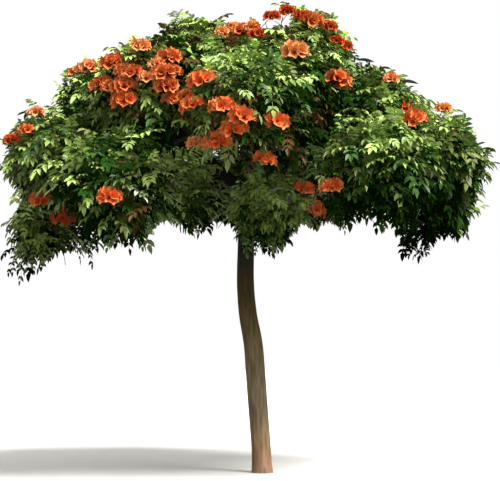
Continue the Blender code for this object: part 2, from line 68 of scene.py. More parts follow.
# The trunk (to +X, to +Y, height, radius) and the crown's masses, with the values of the source.
TRUNK = (
    (0.0, 0.0, 0.0, 0.162), (0.0, 0.0, 0.05, 0.156), (-0.006, 0.002, 0.16, 0.148),
    (-0.018, 0.006, 0.4, 0.143), (-0.052, 0.014, 0.85, 0.143), (-0.095, 0.022, 1.4, 0.144),
    (-0.134, 0.022, 1.9, 0.141), (-0.212, 0.012, 2.35, 0.135), (-0.247, 0.0, 2.8, 0.129),
    (-0.244, -0.01, 3.25, 0.123), (-0.232, -0.01, 3.75, 0.116), (-0.215, 0.01, 4.25, 0.098),
    (-0.19, 0.02, 4.65, 0.084),
)
TRUNK_STATIONS = 18
FIRST_BOUGH_HEIGHT = 3.62
CROWN_AXIS_X = -0.24
FLATNESS = 0.86
CROWN_MIDDLE = np.array([CROWN_AXIS_X, 0, 4.4])
TIERS = {
    "top": dict(count=4, first=30, reach=0.80, height=6.14, radius=0.98, shift=0.14, left=-0.10),
    "shoulder": dict(count=7, first=180, reach=1.95, height=5.33, radius=1.02, left=0.13),
    "rim": dict(
        count=10, first=18, reach=2.76, height=4.30, radius=1.05,
        front=0.18, back=0.58, left=-0.06, stagger=0.42,
    ),
    "skirt": dict(count=4, first=205, reach=0.98, height=4.16, radius=0.80, front=-0.06, back=0.10),
}
NUDGES = {
    "top_3": (-0.10, 0.0, -0.08),
    "top_4": (0.08, 0.0, -0.07),
    "shoulder_4": (-0.03, 0.0, -0.06),
    "rim_1": (0.12, 0.0, 0.0),
    "rim_2": (0.0, 0.0, -0.38),
    "rim_4": (-0.05, 0.0, -0.70),
    "rim_5": (-0.24, 0.20, -0.12),
    "rim_6": (0.0, 0.0, -0.12),
    "rim_9": (0.0, 0.0, 0.17),
    "rim_10": (-0.05, 0.0, -0.27),
    "skirt_2": (-0.05, 0.0, -0.22),
    "skirt_3": (0.0, 0.0, 0.12),
}
BOUGH_TIP_RADIUS = 0.030
BOUGH_FOOT_SWELL = 1.12
BRANCHING_POWER = 2.45
BOUGH_STATIONS = 5
ENTRY_DEPTH = 0.80
ENTRY_STEP = 0.94
ALONG_PARENT = 0.45
UPSWEEP = 0.15
BEND_SHARE = 0.42
SAMPLES = 25
PATH_SHARE = 0.42
TURN_SHARE = 0.35
FORK_SPACING = 0.30
FORK_DEPTH = 1.2
FORK_ZONE = 0.30
CLEAR_WAY = 0.17
CROWDING_SHARE = 3.0
TIP_DEPTHS = (0.40, 0.84)
TIP_CLEARANCE = 0.16
TIP_CHOICES = 1500
NODE_MARGIN = 0.02
INWARD_LIMIT = -0.35
OUTWARD_FAVOUR = 1.2
TWIG_SHARE = 0.35
STEM_NODES = (0.45, 0.70, 0.95)
TWIG_NODES = (0.40, 0.70)
TWIGS_IN_MASS = 5
HEADS_FOR_A_TWIG = 2
FEWEST_TWIGS = 3
EYE = np.array([-0.18, -20.0, 1.70])
HEAD_DEPTH = 0.84
FRONT_HEADS = (
    (-3.42, 5.4), (-3.57, 5.13), (-2.64, 6.07), (-2.28, 6.15), (-1.99, 6.0), (-2.43, 5.8), (-2.1, 5.79),
    (-2.07, 5.59), (-1.86, 6.4), (-1.41, 6.24), (-1.5, 6.0), (-1.45, 5.8), (-1.32, 5.59), (-1.05, 5.52),
    (-0.9, 5.88), (-0.6, 5.49), (-0.3, 5.34), (-0.42, 5.14), (-0.68, 4.95), (-0.33, 6.63), (0.39, 6.96),
    (0.75, 6.81), (1.03, 6.72), (1.27, 6.42), (0.51, 6.33), (1.14, 5.88), (0.21, 5.26), (2.29, 5.28),
    (2.74, 5.46), (0.04, 4.68), (0.63, 4.24), (1.03, 4.26), (0.78, 3.91), (-3.33, 4.06), (-2.98, 3.79),
    (-2.29, 4.12),
)
BACK_HEADS = {"top": 1, "shoulder": 2, "rim": 1}
BACK_OF_CROWN = 0.3
BACK_HEAD_TURN = 0.9
BACK_HEAD_RISE = (0.3, 1.1)

# The finer growth that only shows here.
TIPS_IN_MASS = 74
FINE_INWARD_LIMIT = -0.80
TWIG_POWER = 2.4
TWIG_STATIONS = 5
TWIG_CURVE = 0.55
LEAVES_ON_TIP = 9
LEAF_LENGTHS = (0.34, 0.50)
INNER_LEAF = 0.72
LEAF_DROOPS = (0.10, 0.42)
LEAF_ROLL = 0.25
UPRIGHT_LEAF = 0.2
LEAF_CHECKS = (0.35, 0.65, 0.95)
LEAF_SHARES = (1.0, 0.92, 0.84, 0.76, 0.68, 0.60, 0.55)
PAIR_SPREAD = (38, 17)
PAIR_SCATTER = 0.15
PAIR_TURN = 0.35
PAIR_SPACING = 0.035
SPRAY_ALONG_TWIG = 0.4
SPRAY_RISE = 0.45
FINE_DEPTHS = (0.30, 0.68)
LEAF_REACHES = (0.76, 1.03)
REACH_SCATTER = 0.04
# Sprays that reach further out are painted lighter, and those that stay in darker, as shade.
FURTHER_LIGHTER = 6.0
MIDDLE_REACH = 0.90
OUTER_SPRAY = 0.05
LOWER_REACH = (0.0, 0.26)
VALLEY_DEPTHS = (1.12, 1.42)
VALLEY_REACH = 0.17
HANGING_BELOW = 0.25
HANGING_SHARE = 0.22
HANGING_REACH = 0.13
HANGING_DROOP = 0.35
# Places at the crown's edge, as the eye sees them, where the photo shows no leaves: to +X, height, radius.
BARE = (
    (-2.98, 2.9, 0.36), (-2.96, 3.1, 0.22), (-2.36, 3.2, 0.17), (-1.98, 3.14, 0.2), (-1.43, 3.55, 0.24),
    (-0.6, 3.5, 0.26), (0.66, 3.41, 0.31), (0.98, 3.59, 0.18), (1.49, 3.52, 0.27), (1.92, 3.42, 0.18),
    (2.78, 3.24, 0.3), (3.36, 3.62, 0.3), (2.95, 3.34, 0.22), (2.35, 3.06, 0.16), (3.2, 3.62, 0.16),
    (1.5, 6.42, 0.12), (2.22, 6.05, 0.12), (-3.84, 5.22, 0.12), (-3.38, 2.8, 0.2), (-3.82, 5.46, 0.28),
    (2.5, 5.82, 0.2), (3.34, 5.04, 0.2), (3.27, 5.34, 0.22), (-3.9, 4.24, 0.2), (-3.78, 3.93, 0.15),
    (0.08, 6.88, 0.22), (0.38, 6.8, 0.14), (2.26, 5.92, 0.12), (-3.28, 5.68, 0.2), (1.22, 6.75, 0.14),
    (0.7, 7.1, 0.14), (-0.84, 6.97, 0.16), (-1.66, 6.7, 0.12), (-1.51, 6.88, 0.11), (-3.98, 4.8, 0.18),
    (-3.9, 5.17, 0.14),
)
# Where tufts reach further than the masses do, as the eye sees them.
TUFTS = ((-3.64, 3.32), (-3.52, 3.30), (-3.40, 3.38), (-1.32, 6.80))
TUFT_REACH = 0.20
TUFT_LEAF = 0.8
# Leaflets: places and angles of the first and last pair, each pair's length, and the one at the end.
LEAF_PAIRS = 4
LEAFLET_PLACES = (0.26, 0.90)
LEAFLET_ANGLES = (68, 50)
LEAFLET_LENGTHS = (0.25, 0.30, 0.32, 0.29)
END_LEAFLET = 0.31
LEAFLET_SIZES = (0.85, 1.12)
LEAFLET_HANGS = (0.05, 0.50)
LEAFLET_SCATTER = 0.10
LEAFLET_WIDTH = 0.50
LEAFLET_FOLD = 0.10
# Two places along a leaflet's edge: how far, and the shares of its width and fold there.
LEAFLET_EDGE = ((0.30, 0.5, 1.0), (0.70, 0.38, 0.6))
LEAFLET_TIP_DROOP = 0.12
STALK_WIDTH = 0.006
STALK_PLACES = (0.0, 0.35, 0.7, 1.0)
HEAD_ROOM = 0.17
HEAD_WINDOW = 0.14
CLEAR_STEPS = (0.0, 0.18, 0.36)
MOST_TRIANGLES = 190000

# Tints of leaves, from dark to light: base colour, share of the sprays where no patch says otherwise, and
# gloss. Sprays are moved along them by painted light and shade.
TINTS = {
    "shade": ((0.008, 0.025, 0.003), 0.07, 0.0),
    "deep": ((0.018, 0.060, 0.007), 0.24, 0.0),
    "mid": ((0.036, 0.100, 0.010), 0.26, 0.25),
    "olive": ((0.125, 0.175, 0.035), 0.22, 0.40),
    "light": ((0.225, 0.320, 0.075), 0.14, 0.40),
    "fresh": ((0.400, 0.565, 0.140), 0.10, 0.40),
    # A near-white tint that paints bright specks into the crown: painted highlights.
    "underside": ((0.60, 0.64, 0.52), 0.0, 0.25),
    "bronze": ((0.090, 0.050, 0.015), 0.0, 0.10),
}
LIGHTEST = list(TINTS).index("fresh")
# Leaves heading up are painted lighter, as if lit from above.
TOP_LEAVES_LIGHTER = 0.9
LEAF_TINTS = (-1.0, 1.25)
# Leaves that differ here and there: the share of them, and where: to +X, height and radius. The pale ones are
# painted highlight specks; the bronze ones are young leaves.
ODD_LEAVES = {
    "underside": (0.16, (
        (-2.30, 4.86, 0.16), (-1.80, 4.16, 0.16), (0.78, 4.62, 0.22), (1.98, 5.13, 0.14), (0.32, 4.18, 0.14),
    )),
    "bronze": (0.26, (
        (-1.55, 6.00, 0.85), (-0.35, 5.25, 0.50), (0.15, 4.90, 0.45), (0.55, 4.65, 0.40),
        (0.78, 4.15, 0.36), (-2.95, 3.90, 0.30), (-2.05, 4.05, 0.30), (0.60, 6.70, 0.45),
        (-0.60, 6.65, 0.25), (0.95, 5.50, 0.30), (2.80, 5.02, 0.14),
    )),
}
# Patches of painted light and shade on the sprays, as the eye sees them: to +X, height, radius, how far the
# tint moves.
PATCHES = (
    (2.35, 5.15, 0.7, 1.7), (-3.2, 4.84, 0.45, 1.4), (-3.82, 3.95, 0.55, 2.2), (-0.25, 3.9, 0.6, 1.0),
    (-1.22, 6.74, 0.3, 2.0), (-0.45, 6.45, 0.36, 2.2), (0.15, 6.75, 0.5, 2.0), (0.98, 6.54, 0.28, 2.4),
    (0.83, 5.96, 0.36, -2.3), (1.27, 6.05, 0.26, -1.0), (0.16, 6.18, 0.3, -1.7), (-0.62, 6.68, 0.24, 1.8),
    (0.66, 6.7, 0.28, 1.6), (-2.34, 5.38, 0.3, 2.6), (-2.05, 5.7, 0.5, 1.8), (2.97, 4.35, 0.4, 0.8),
    (3.12, 5.16, 0.3, 2.6), (3.05, 3.66, 0.42, 2.2), (-3.8, 4.66, 0.45, 1.6), (-0.95, 4.38, 0.3, 1.2),
    (2.28, 5.66, 0.3, 2.6), (-0.68, 5.41, 0.3, 3.0), (0.57, 6.2, 0.25, 0.9), (-1.2, 4.69, 0.32, 0.9),
    (-0.6, 4.15, 0.6, 1.0), (0.26, 4.11, 0.3, 1.8), (-1.12, 6.23, 0.32, -2.6), (1.83, 5.38, 0.28, -2.4),
    (2.8, 4.84, 0.34, -3.0), (-2.85, 5.29, 0.28, -2.0), (-1.88, 5.11, 0.48, -4.0), (-2.19, 4.4, 0.26, -1.6),
    (-1.92, 4.0, 0.35, 1.6), (-1.5, 4.42, 0.32, 1.6), (-1.83, 3.72, 0.3, 1.0), (-2.66, 3.98, 0.34, -3.4),
    (-2.55, 3.48, 0.34, -1.6), (0.0, 3.35, 0.34, -3.2), (0.92, 3.74, 0.34, 3.0), (0.12, 5.02, 0.26, 1.8),
    (-3.42, 3.69, 0.26, 1.2), (1.4, 4.88, 0.2, 1.4), (0.62, 5.2, 0.5, -2.6), (0.16, 5.45, 0.3, -2.2),
    (1.06, 4.84, 0.24, -1.4), (1.15, 5.45, 0.4, -1.4), (1.75, 4.92, 0.42, 1.4), (2.45, 4.9, 0.36, 0.8),
    (2.22, 4.1, 0.5, -4.0), (2.7, 3.8, 0.6, -2.4), (1.48, 4.34, 0.4, -2.2), (3.3, 4.2, 0.4, 1.6),
)
# Painted light and shade by place: sprays high in the crown, far out in their mass or high in it lighter;
# those low in it, on its far side or at the back darker.
FRONT_OF_PATCHES = 0.8
BACK_DARKER = 0.8
FAR_SIDE_DARKER = 2.2
HIGHER_LIGHTER = 0.30
MIDDLE_HEIGHT = 4.7
MIDDLE_DEPTH = 0.6
OUTER_LIGHTER = 2.0
UPPER_LIGHTER = 1.1
LOWER_DARKER = 1.3
TINT_SCATTER = 0.3
LEAF_ROUGHNESS = 0.45

# Small flower heads that only show here, as the eye sees them, by kind.
SMALLER_HEADS = {
    "dark": ((-3.79, 4.98), (-0.08, 6.60), (0.15, 6.87), (0.62, 6.88), (1.13, 6.49)),
    "pale": ((-1.02, 4.93), (1.95, 5.92), (-2.84, 6.02), (-0.60, 6.62), (-0.42, 6.70), (-0.16, 6.72)),
    "small": ((-2.13, 6.05), (-1.75, 5.93), (-2.31, 5.80), (-1.60, 6.14), (-1.33, 6.03), (-1.16, 5.64)),
}
# Heads of the source that the photo shows dark, faded, small, or bright for certain.
RECAST = {
    "dark": ((0.39, 6.96), (1.03, 6.72), (1.27, 6.42)),
    "faded": ((0.51, 6.33),),
    "bright": ((1.14, 5.88),),
    "pale": ((2.74, 5.46),),
    "small": ((-3.42, 5.40), (-3.57, 5.13)),
}
SAME_HEAD = 0.05
FULL_SIZED = ("full", "faded", "bright")
SMALL_SIZE = 0.72
HEAD_SIZES = (0.94, 1.16)
PALER_SHARE = 0.3
# Heads below this height stand in the crown's shade and are painted brighter.
LOW_HEADS = 5.15
HEAD_ALONG_TWIG = 0.5
HEAD_UPRIGHT = 4.0
HEAD_RISE = -0.03
# Whorls of flowers in a head: how many, the lean from its axis in degrees, and where they start.
FLOWER_WHORLS = ((11, 84, 0.065), (8, 64, 0.055), (4, 36, 0.035))
WHORL_SCATTER = 0.18
LEAN_SCATTER = 10
FLOWER_LIFT = 0.10
FLOWER_LENGTH = 0.100
FLOWER_SIZES = (0.85, 1.2)
FLOWER_SIDES = 15
LOBES = 5
# Rings of a flower as shares of its length: reach, and how much of it is the lobes', then height likewise.
FLOWER_RINGS = ((0.10, 0, 0.0, 0), (0.22, 0, 0.38, 0), (0.42, 0.02, 0.70, 0.03), (0.62, 0.10, 0.90, 0.09))
RUFFLE = 0.06
BUDS = 9
BUD_TURN = 2.4
BUD_LEANS = (5, 50)
BUD_START = 0.07
BUD_LENGTHS = (0.06, 0.085)
BUD_SIDES = 4
BUD_RINGS = ((0.10, 0.0), (0.17, 0.3), (0.12, 0.7), (0.02, 1.0))
BUD_BOWS = (0.1, 0.3)
PETALS = {
    "petal_throat": (0.42, 0.022, 0.004),
    "petal": (0.62, 0.092, 0.014),
    "petal_edge": (0.70, 0.210, 0.062),
    "petal_pale": (0.82, 0.350, 0.140),
    # A brighter red painted onto heads in the shade: painted light.
    "petal_vivid": (0.90, 0.132, 0.028),
    "petal_dark": (0.28, 0.035, 0.012),
    "flower_bud": (0.20, 0.070, 0.020),
}
PETAL_NAMES = list(PETALS)
# The throat, the bell and the lobes of a flower.
LIT_FLOWER = ("petal_throat", "petal", "petal_edge")
PALE_FLOWER = ("petal", "petal_edge", "petal_pale")
# Heads low in the crown's shade take brighter colours: painted light.
SHADED_HEAD_PAINTED_LIGHT = ("petal", "petal_vivid", "petal_edge")
DARK_FLOWER = ("petal_dark", "petal_dark", "petal")

# Pods that only show here: where the eye sees them, and their form.
PODS = ((1.44, 6.19), (2.08, 5.86))
POD_WAY = np.array([0.99, 0.0, -0.12])
POD_LENGTH = 0.27
POD_STATIONS = 14
POD_SIDES = 10
POD_BOW = 0.02
POD_RADII = (0.004, 0.020)
POD_TIP = 1.03
POD_FULLNESS = 0.7
POD_FLATNESS = 0.45
POD_RIB_DEPTH = 0.03
POD_RIBS = 9
POD_COLOUR = (0.022, 0.019, 0.012)

# Bark relief: furrows round, their depth and the lumps', as shares of the radius.
TRUNK_RELIEF = (22, 0.035, 0.03)
BOUGH_RELIEF = (8, 0.05, 0.06)
FURROW_WAVES = 9
FURROW_RISES = (2, 9)
FURROW_SHARES = (0.5, 1)
FURROW_CREST = 0.6
FURROW_WANDER = 3.1
LUMP_WAVES = 7
LUMP_COUNTS = (1, 5)
LUMP_RISES = (1, 6)
TRUNK_RINGS = 250
TRUNK_SIDES = 72
BOUGH_RINGS = 36
BOUGH_SIDES = 18
COLLAR_SWELL = 0.45
COLLAR_LENGTH = 0.10
STEM_SIDES = 10
TWIG_SIDES = 5
THIN_TWIG = 0.009
THIN_TWIG_SIDES = 4
TWIG_COLOUR = (0.060, 0.048, 0.030)

# Materials: where the spots of noise begin and end, and how high its bump is.
NOISE_DETAIL = 4.0
NOISE_SPAN = (0.3, 0.7)
BUMP_HEIGHT = 0.004
# Bark: height and colour, which the streaks then halve on average. Partly the bark's own colours, partly
# painted light low down and painted shade under the crown aloft.
BARK_STREAKS = (0.5, 0.5, 0.5)
BARK_TOP = 4.2
BARK_COLOURS_LIGHT_AND_SHADE = (
    (0.00, (0.68, 0.40, 0.27)),
    (0.22, (0.70, 0.42, 0.25)),
    (0.50, (0.66, 0.45, 0.24)),
    (1.00, (0.56, 0.44, 0.29)),
    (1.60, (0.53, 0.41, 0.23)),
    (2.15, (0.32, 0.235, 0.10)),
    (2.60, (0.17, 0.125, 0.050)),
    (3.10, (0.075, 0.065, 0.045)),
    (4.20, (0.035, 0.035, 0.025)),
)

# Light, floor and camera.
SUN_STRENGTH = 6.4
SUN_SOFTNESS = 25
SUN_FROM = (0.50, -0.50, 0.85)
SUN_COLOUR = (1.0, 0.98, 0.93)
SKY_STRENGTH = 0.9
# The sky's colours where it starts and where it is full, from straight down at 0 to straight up at 1.
SKY = ((0.46, (0.10, 0.09, 0.05)), (0.76, (0.98, 0.97, 0.92)))
WHITE = (1, 1, 1, 1)
FILL_STRENGTH = 330
FILL_SIZE = 5.0
FILL_FROM = (0.8, -14.0, 2.0)
FLOOR_REACH = 150
FLOOR_COLOUR = (0.80, 0.80, 0.79)
LENS = 96.4
SENSOR = 36.0
TARGET = (-0.18, 0.0, 3.44)


class Mass:
    """An ellipsoid of foliage, cut back to the part that is nearer to it than to the others."""

    def __init__(self, name, number, centre, radius, bearing):
        self.name, self.number, self.centre, self.radius = name, number, centre, radius
        self.bearing, self.walls = bearing, []

    def depth(self, points):
        """0 at the middle and 1 on the ellipsoid's surface."""
        scaled = (np.asarray(points) - self.centre) / np.array([1, 1, FLATNESS])
        return norm(scaled, axis=-1) / self.radius

    def holds(self, points, margin):
        """True where points lie a margin or more inside every wall that this mass shares with another."""
        points = np.asarray(points)
        inside = np.ones(points.shape[:-1], bool)
        for normal, offset in self.walls:
            inside &= points @ normal < offset - margin
        return inside


class Limb:
    """The trunk or a bough: a centreline with the load, in masses carried, at each station."""

    def __init__(self, name, points, parent=None, fork=None, path_before=0.0):
        self.name, self.points, self.parent, self.fork = name, points, parent, fork
        self.path = path_before + path_along(points)
        self.load, self.forks = np.ones(len(points)), []


class Twig:
    """A curved twig: where it starts on an earlier one, and how many tips it serves."""

    def __init__(self, parent, place, points):
        self.parent, self.place, self.points = parent, place, points
        self.served = {0.0: 1}


def unit(vectors):
    """Vectors of length one, for one vector or rows of them."""
    vectors = np.asarray(vectors, float)
    return vectors / np.maximum(norm(vectors, axis=-1, keepdims=True), TINY)


def toward(angle, first, second):
    """The direction at an angle from the first of two square ones, on the side of the second."""
    return math.cos(angle) * first + math.sin(angle) * second


def path_along(points):
    """How far along a centreline each of its points lies."""
    return np.concatenate([[0.0], np.cumsum(norm(np.diff(points, axis=0), axis=1))])


def smooth_stations(rows, count):
    """Rows of values blended by a Catmull-Rom curve into count rows."""
    rows = np.array(rows, float)
    padded = np.vstack([rows[:1], rows, rows[-1:]])
    made = []
    for place in np.linspace(0, len(rows) - 1 - TINY, count):
        i, t = int(place), place % 1.0
        a, b, c, d = padded[i : i + 4]
        bow = (2 * a - 5 * b + 4 * c - d) * t**2 + (3 * b - a - 3 * c + d) * t**3
        made.append(b + ((c - a) * t + bow) / 2)
    return np.array(made)


def seeded(mass, purpose, attempt=0):
    """A random generator of a mass's own for one purpose."""
    return np.random.default_rng([SEED, mass.number, attempt, *purpose.encode()])


def crown_masses():
    """The crown's masses, tier by tier, each with the walls between it and its neighbours."""
    masses = []
    for tier, size in TIERS.items():
        for i in range(size["count"]):
            name = f"{tier}_{i + 1}"
            bearing = math.radians(size["first"] + 360 * i / size["count"])
            right, away = math.cos(bearing), math.sin(bearing)
            height = size["height"] + size.get("stagger", 0) * (1 if i % 2 else -1)
            height += size.get("front", 0) * max(0, -away) + size.get("back", 0) * max(0, away)
            height -= size.get("left", 0) * right
            middle = CROWN_AXIS_X + size.get("shift", 0) + size["reach"] * right
            centre = np.array([middle, size["reach"] * away, height]) + NUDGES.get(name, (0, 0, 0))
            masses.append(Mass(name, len(masses), centre, size["radius"], bearing))
    for one in masses:
        for other in masses:
            if other is not one:
                normal = other.centre - one.centre
                distance = norm(normal)
                normal = normal / distance
                along = (distance**2 + one.radius**2 - other.radius**2) / (2 * distance)
                one.walls.append((normal, one.centre @ normal + along))
    return masses


def bend(start, heading, end, count):
    """Points on a curve that leaves start along heading and reaches end."""
    reach = norm(end - start)
    middle = start + unit(heading) * reach * BEND_SHARE
    t = np.linspace(0, 1, count)[:, None]
    return (1 - t) ** 2 * start + 2 * t * (1 - t) * middle + t**2 * end


def entry_place(mass, start):
    """Where a bough that comes from start ends, inside the mass's own space."""
    inward = unit(start - mass.centre)
    depth = ENTRY_DEPTH
    while True:
        place = mass.centre + inward * depth / norm(inward / [1, 1, FLATNESS]) * mass.radius
        if mass.holds(place, 2 * BOUGH_TIP_RADIUS):
            return place
        depth *= ENTRY_STEP


def crowding(points, parent, limbs):
    """0 where a bough is clear of other limbs, and of its parent beyond the fork; more as it comes close."""
    beyond = points[norm(points - points[0], axis=1) > FORK_ZONE]
    nearest = CLEAR_WAY
    for limb in limbs:
        tested = beyond if limb is parent else points
        if len(tested):
            nearest = min(nearest, norm(tested[:, None] - limb.samples[None], axis=2).min())
    return 1 - nearest / CLEAR_WAY


def bough_choices(mass, limbs):
    """Every way to send a bough to a mass: (cost, limb, station, start, heading, entry)."""
    for limb in limbs:
        is_trunk = limb.parent is None
        for i in range(1, len(limb.points) - (0 if is_trunk else 2)):
            start = limb.points[i]
            if (is_trunk and start[2] < FIRST_BOUGH_HEIGHT) or mass.depth(start) < FORK_DEPTH:
                continue
            along = unit(limb.points[min(i + 1, len(limb.points) - 1)] - limb.points[i - 1])
            entry = entry_place(mass, start)
            outward = unit(entry - start)
            heading = ALONG_PARENT * along + outward + np.array([0, 0, UPSWEEP])
            cost = norm(entry - start) + PATH_SHARE * limb.path[i]
            cost += TURN_SHARE * (1 - along @ outward)
            cost += sum(max(0, 1 - norm(limb.points[j] - start) / FORK_SPACING) for j in limb.forks)
            cost += CROWDING_SHARE * crowding(bend(start, heading, entry, SAMPLES), limb, limbs)
            yield cost, limb, i, start, heading, entry


def grow_boughs(masses):
    """One bough for each mass, from the limb that gives it the shortest clear way."""
    trunk = Limb("trunk", smooth_stations([row[:3] for row in TRUNK], TRUNK_STATIONS))
    trunk.samples = smooth_stations([row[:3] for row in TRUNK], 3 * SAMPLES)
    limbs = [trunk]
    for mass in masses:
        _, parent, fork, start, heading, entry = min(bough_choices(mass, limbs), key=lambda choice: choice[0])
        points = bend(start, heading, entry, BOUGH_STATIONS)
        mass.bough = Limb(f"{mass.name}_bough", points, parent, fork, parent.path[fork])
        mass.bough.samples = bend(start, heading, entry, SAMPLES)
        parent.forks.append(fork)
        limbs.append(mass.bough)
    for bough in reversed(limbs[1:]):
        bough.parent.load[: bough.fork + 1] += bough.load[0]
    for bough in limbs[1:]:
        taper = np.linspace(BOUGH_FOOT_SWELL, 1.0, len(bough.points))
        bough.radii = BOUGH_TIP_RADIUS * bough.load ** (1 / BRANCHING_POWER) * taper
    trunk.radii = smooth_stations([row[3:] for row in TRUNK], TRUNK_STATIONS)[:, 0]
    return limbs


def on_crown(seen, masses):
    """The mass, and the place on it, that the eye sees at (to +X, height) on the plane through the trunk."""
    ray = unit(np.array([seen[0], 0, seen[1]]) - EYE)
    squash = np.array([1, 1, 1 / FLATNESS])
    best = None
    for mass in masses:
        start, way = (EYE - mass.centre) * squash, ray * squash
        nearest = -(start @ way) / (way @ way)
        miss = norm(start + nearest * way)
        reach = mass.radius * HEAD_DEPTH
        back = math.sqrt(max(0.0, reach**2 - miss**2) / (way @ way))
        place = EYE + ray * (nearest - back)
        rank = (max(0.0, miss - reach), nearest - back)
        if best is None or rank < best[0]:
            best = (rank, mass, place)
    return best[1], best[2]


def head_places(masses):
    """Where each mass bears flower heads: those seen from the front, and a few at the back."""
    places = {mass.name: [] for mass in masses}
    for seen in FRONT_HEADS:
        mass, place = on_crown(seen, masses)
        places[mass.name].append(place)
    for mass in masses:
        if math.sin(mass.bearing) < BACK_OF_CROWN:
            continue
        random = seeded(mass, "heads")
        for _ in range(BACK_HEADS.get(mass.name.split("_")[0], 0)):
            bearing = mass.bearing + random.uniform(-BACK_HEAD_TURN, BACK_HEAD_TURN)
            rise = random.uniform(*BACK_HEAD_RISE)
            level = math.cos(rise) * np.array([math.cos(bearing), math.sin(bearing)])
            out = np.array([*level, math.sin(rise) * FLATNESS])
            places[mass.name].append(mass.centre + out * mass.radius * HEAD_DEPTH)
    return places


def tip_targets(mass, count, placed=(), purpose="tips", inward_limit=INWARD_LIMIT, tip_depths=TIP_DEPTHS):
    """Places for twig tips in a mass, each far from those before it and those already placed."""
    random = seeded(mass, purpose)
    ways = random.normal(size=(TIP_CHOICES, 3))
    ways /= norm(ways, axis=1)[:, None]
    inner, outer = tip_depths
    depths = mass.radius * np.cbrt(random.uniform(inner**3, outer**3, TIP_CHOICES))
    places = mass.centre + ways * depths[:, None] * np.array([1, 1, FLATNESS])
    outward = unit(mass.centre - CROWN_MIDDLE)
    free = mass.holds(places, TIP_CLEARANCE) & (ways @ outward > inward_limit)
    places, ways = places[free], ways[free]
    chosen = [] if len(placed) else [places[np.argmax((places - mass.centre) @ outward)]]
    nearest = np.min([norm(places - place, axis=1) for place in [*placed, *chosen]], axis=0)
    favour = OUTWARD_FAVOUR + ways @ outward
    while len(chosen) < count:
        chosen.append(places[np.argmax(nearest * favour)])
        nearest = np.minimum(nearest, norm(places - chosen[-1], axis=1))
    return chosen


def grow_twigs(mass, tips):
    """A stem to the middle of the mass, then a curved twig to each tip by the source's shortest way."""
    entry = mass.bough.points[-1]
    arriving = unit(entry - mass.bough.points[-2])
    stem = Twig(None, 0.0, bend(entry, arriving, mass.centre, 2 * TWIG_STATIONS))
    twigs = [stem]
    nodes, paths, owners = [], [], []

    def add_nodes(twig, shares, before):
        length = norm(np.diff(twig.points, axis=0), axis=1).sum()
        for share in shares:
            spot = share * (len(twig.points) - 1)
            low = min(int(spot), len(twig.points) - 2)
            nodes.append(twig.points[low] + (twig.points[low + 1] - twig.points[low]) * (spot - low))
            paths.append(before + share * length)
            owners.append((twig, share, unit(twig.points[low + 1] - twig.points[low])))

    add_nodes(stem, STEM_NODES, 0.0)
    for tip in tips:
        cost = norm(np.array(nodes) - tip, axis=1) + TWIG_SHARE * np.array(paths)
        chosen = int(np.argmin(cost))
        owner, place, along = owners[chosen]
        start = nodes[chosen]
        twig = Twig(owner, place, bend(start, along * TWIG_CURVE + unit(tip - start), tip, TWIG_STATIONS))
        twigs.append(twig)
        add_nodes(twig, TWIG_NODES, paths[chosen])
        below, spot = owner, place
        while below is not None:
            below.served[spot] = below.served.get(spot, 0) + 1
            below, spot = below.parent, below.place
    return twigs


def twig_radii(twig, tip_radius):
    """The radius at each of a twig's points, from the tips that it still has to serve there."""
    loads = []
    for place in np.linspace(0, 1, len(twig.points)):
        left = [count for spot, count in twig.served.items() if 0 < spot < place - NODE_MARGIN]
        loads.append(sum(twig.served.values()) - sum(left))
    return tip_radius * np.array(loads, float) ** (1 / TWIG_POWER)


def turned_frames(points):
    """Two directions across a centreline at each of its points, which turn no more than it does."""
    along = unit(np.gradient(points, axis=0))
    across = unit(np.cross(along[0], ACROSS_LIMB))
    first = []
    for way in along:
        across = unit(across - way * (across @ way))
        first.append(across)
    first = np.array(first)
    return first, np.cross(along, first)


def ring_turns(sides):
    """The angle of each point of a ring."""
    return 2 * math.pi * np.arange(sides) / sides


def ring_quads(rings, sides):
    """The quads between rings of points, ring by ring."""
    start = np.arange(rings - 1)[:, None] * sides
    here, after = np.arange(sides)[None, :], (np.arange(sides)[None, :] + 1) % sides
    corners = [start + here, start + after, start + sides + after, start + sides + here]
    return np.stack(corners, axis=2).reshape(-1, 4)


def tube(points, radii, sides, relief=None):
    """Rings round a centreline: their points and quads. relief(turn, path) adds to the radius."""
    first, second = turned_frames(points)
    turns = ring_turns(sides)
    reach = np.repeat(np.asarray(radii, float)[:, None], sides, axis=1)
    if relief:
        reach = reach * (1 + relief(turns[None, :], path_along(points)[:, None]))
    ring = np.cos(turns)[None, :, None] * first[:, None] + np.sin(turns)[None, :, None] * second[:, None]
    made = points[:, None] + ring * reach[:, :, None]
    return made.reshape(-1, 3), ring_quads(len(points), sides)


def joined(parts):
    """The points and faces of several parts as one."""
    offset, points, faces = 0, [], []
    for part_points, part_faces in parts:
        points.append(part_points)
        faces.append(part_faces + offset)
        offset += len(part_points)
    return np.concatenate(points), np.concatenate(faces)


def add_object(name, data):
    """A new object in the scene."""
    made = bpy.data.objects.new(name, data)
    bpy.context.scene.collection.objects.link(made)
    return made


def mesh_object(name, points, faces, materials, smooth=True, slots=None):
    """An object that rides on the tree, from rows of points and of faces with one number of corners."""
    mesh = bpy.data.meshes.new(name)
    mesh.vertices.add(len(points))
    mesh.vertices.foreach_set("co", np.asarray(points, np.float32).ravel())
    mesh.loops.add(faces.size)
    mesh.loops.foreach_set("vertex_index", faces.astype(np.int32).ravel())
    mesh.polygons.add(len(faces))
    mesh.polygons.foreach_set("loop_start", np.arange(0, faces.size, faces.shape[1], dtype=np.int32))
    for material in materials:
        mesh.materials.append(material)
    if slots is not None:
        mesh.polygons.foreach_set("material_index", np.asarray(slots, np.int32))
    mesh.update(calc_edges=True)
    if not smooth:
        mesh.shade_flat()
    made = add_object(name, mesh)
    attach(made, "root")
    return made


